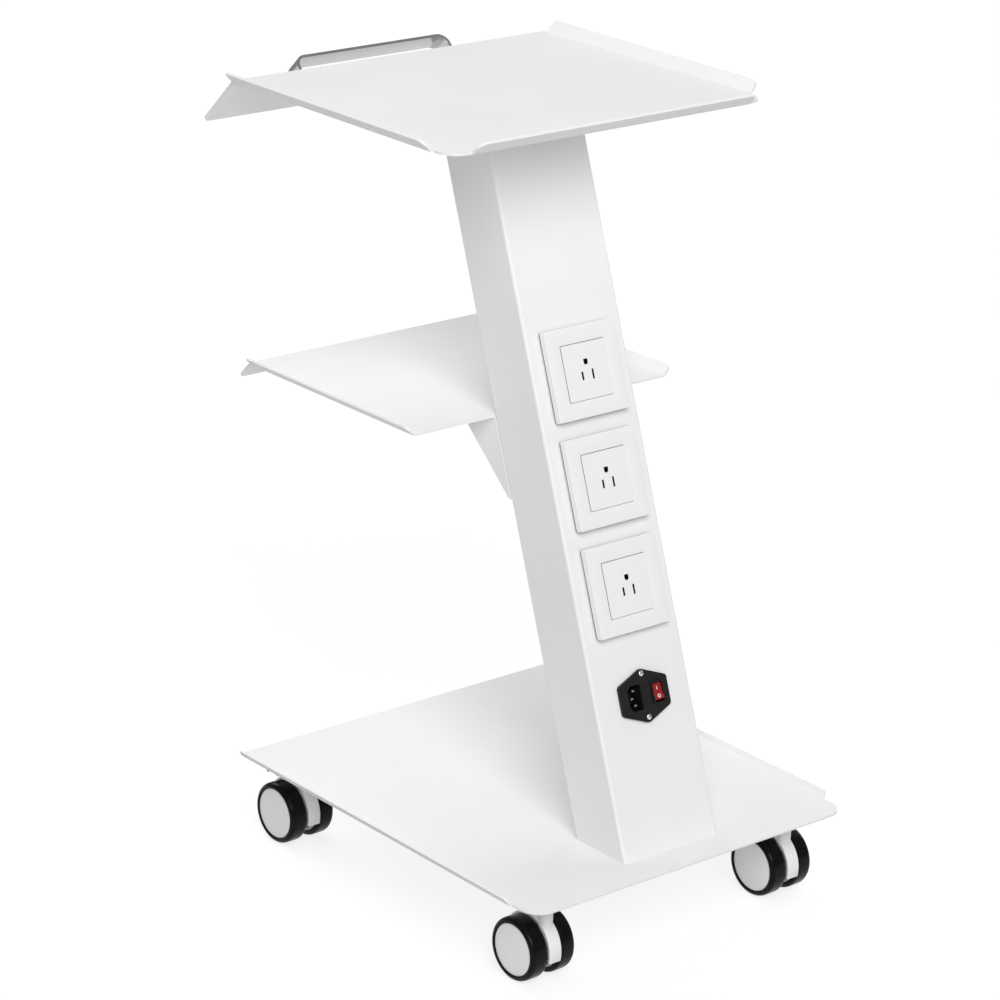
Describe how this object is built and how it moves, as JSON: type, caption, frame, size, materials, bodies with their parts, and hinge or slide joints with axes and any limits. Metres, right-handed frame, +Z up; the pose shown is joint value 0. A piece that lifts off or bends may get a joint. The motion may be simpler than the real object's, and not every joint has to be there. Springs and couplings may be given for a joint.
{
  "type": "salon trolley",
  "caption": "Rolling salon trolley with a leaning column, two lipped shelves, a rear handle, mains outlets and a power inlet on twin-wheel casters.",
  "frame": {"origin": "centre of the bounding box on the floor", "axes": "+Z up, outlet side faces -Y, handle side faces +Y, +X to the right seen from the outlet side"},
  "size_m": [0.409, 0.5332, 0.7755],
  "materials": {
    "white_paint": "satin",
    "zinc_steel": "satin",
    "satin_steel": "satin",
    "outlet_plastic": "gloss",
    "contact_brass": "satin",
    "black_plastic": "satin",
    "bright_pin": "gloss",
    "fuse_glass": "gloss",
    "red_rocker": "gloss",
    "wire_sheath": "matte",
    "hood_plastic": "gloss",
    "hub_plastic": "satin",
    "tyre_rubber": "gloss"
  },
  "bodies": {
    "trolley": {"base_plate": "white_paint", "column_shell": "white_paint", "column_foot_plate": "zinc_steel", "column_head_plate": "zinc_steel", "foot_bolts": "zinc_steel", "weld_studs": "zinc_steel", "stud_nuts": "zinc_steel", "top_shelf": "white_paint", "handle": "satin_steel", "handle_screws": "zinc_steel", "middle_shelf": "white_paint", "shelf_gusset": "white_paint", "gusset_rivets": "zinc_steel", "outlet_frame_top": "outlet_plastic", "outlet_frame_middle": "outlet_plastic", "outlet_frame_bottom": "outlet_plastic", "outlet_module_top": "outlet_plastic", "outlet_module_middle": "outlet_plastic", "outlet_module_bottom": "outlet_plastic", "outlet_contacts": "contact_brass", "outlet_screws": "zinc_steel", "inlet_body": "black_plastic", "inlet_pins": "bright_pin", "inlet_screws": "zinc_steel", "switch_housing": "black_plastic", "supply_wires": "wire_sheath", "caster_bosses": "zinc_steel", "caster_stems": "zinc_steel"},
    "swivel_fl": {"caster_hood_fl": "hood_plastic", "axle_fl": "zinc_steel"},
    "wheel_fl_l": {"hub_fl_l": "hub_plastic", "tyre_fl_l": "tyre_rubber"},
    "wheel_fl_r": {"hub_fl_r": "hub_plastic", "tyre_fl_r": "tyre_rubber"},
    "swivel_fr": {"caster_hood_fr": "hood_plastic", "axle_fr": "zinc_steel"},
    "wheel_fr_l": {"hub_fr_l": "hub_plastic", "tyre_fr_l": "tyre_rubber"},
    "wheel_fr_r": {"hub_fr_r": "hub_plastic", "tyre_fr_r": "tyre_rubber"},
    "swivel_rl": {"caster_hood_rl": "hood_plastic", "axle_rl": "zinc_steel"},
    "wheel_rl_l": {"hub_rl_l": "hub_plastic", "tyre_rl_l": "tyre_rubber"},
    "wheel_rl_r": {"hub_rl_r": "hub_plastic", "tyre_rl_r": "tyre_rubber"},
    "swivel_rr": {"caster_hood_rr": "hood_plastic", "axle_rr": "zinc_steel"},
    "wheel_rr_l": {"hub_rr_l": "hub_plastic", "tyre_rr_l": "tyre_rubber"},
    "wheel_rr_r": {"hub_rr_r": "hub_plastic", "tyre_rr_r": "tyre_rubber"},
    "pedal_rl": {"brake_pedal_rl": "black_plastic"},
    "pedal_rr": {"brake_pedal_rr": "black_plastic"},
    "rocker": {"switch_rocker": "red_rocker"},
    "fuse_tray": {"fuse_drawer": "black_plastic", "fuse": "fuse_glass"}
  },
  "joints": [
    {"name": "caster_swivel_fl", "type": "hinge", "parent": "trolley", "child": "swivel_fl", "pos_m": [-0.152, -0.22863, 0.06], "axis": [0, 0, 1], "continuous": true},
    {"name": "wheel_spin_fl_l", "type": "hinge", "parent": "swivel_fl", "child": "wheel_fl_l", "pos_m": [-0.1685, -0.21263, 0.031], "axis": [1, 0, 0], "continuous": true},
    {"name": "wheel_spin_fl_r", "type": "hinge", "parent": "swivel_fl", "child": "wheel_fl_r", "pos_m": [-0.1355, -0.21263, 0.031], "axis": [1, 0, 0], "continuous": true},
    {"name": "caster_swivel_fr", "type": "hinge", "parent": "trolley", "child": "swivel_fr", "pos_m": [0.152, -0.22863, 0.06], "axis": [0, 0, 1], "continuous": true},
    {"name": "wheel_spin_fr_l", "type": "hinge", "parent": "swivel_fr", "child": "wheel_fr_l", "pos_m": [0.1355, -0.21263, 0.031], "axis": [1, 0, 0], "continuous": true},
    {"name": "wheel_spin_fr_r", "type": "hinge", "parent": "swivel_fr", "child": "wheel_fr_r", "pos_m": [0.1685, -0.21263, 0.031], "axis": [1, 0, 0], "continuous": true},
    {"name": "caster_swivel_rl", "type": "hinge", "parent": "trolley", "child": "swivel_rl", "pos_m": [-0.152, 0.13837, 0.06], "axis": [0, 0, 1], "continuous": true},
    {"name": "wheel_spin_rl_l", "type": "hinge", "parent": "swivel_rl", "child": "wheel_rl_l", "pos_m": [-0.1685, 0.15437, 0.031], "axis": [1, 0, 0], "continuous": true},
    {"name": "wheel_spin_rl_r", "type": "hinge", "parent": "swivel_rl", "child": "wheel_rl_r", "pos_m": [-0.1355, 0.15437, 0.031], "axis": [1, 0, 0], "continuous": true},
    {"name": "caster_swivel_rr", "type": "hinge", "parent": "trolley", "child": "swivel_rr", "pos_m": [0.152, 0.13837, 0.06], "axis": [0, 0, 1], "continuous": true},
    {"name": "wheel_spin_rr_l", "type": "hinge", "parent": "swivel_rr", "child": "wheel_rr_l", "pos_m": [0.1355, 0.15437, 0.031], "axis": [1, 0, 0], "continuous": true},
    {"name": "wheel_spin_rr_r", "type": "hinge", "parent": "swivel_rr", "child": "wheel_rr_r", "pos_m": [0.1685, 0.15437, 0.031], "axis": [1, 0, 0], "continuous": true},
    {"name": "brake_pedal_rl", "type": "hinge", "parent": "swivel_rl", "child": "pedal_rl", "pos_m": [-0.152, 0.17424, 0.0628], "axis": [1, 0, 0], "range_deg": [-15, 0]},
    {"name": "brake_pedal_rr", "type": "hinge", "parent": "swivel_rr", "child": "pedal_rr", "pos_m": [0.152, 0.17424, 0.0628], "axis": [1, 0, 0], "range_deg": [-15, 0]},
    {"name": "switch_rocker", "type": "hinge", "parent": "trolley", "child": "rocker", "pos_m": [0.0163, -0.17962, 0.23063], "axis": [1, 0, 0], "range_deg": [0, 20]},
    {"name": "fuse_drawer_slide", "type": "slide", "parent": "trolley", "child": "fuse_tray", "axis": [0, -0.9397, 0.342], "range_m": [0, 0.012]}
  ]
}
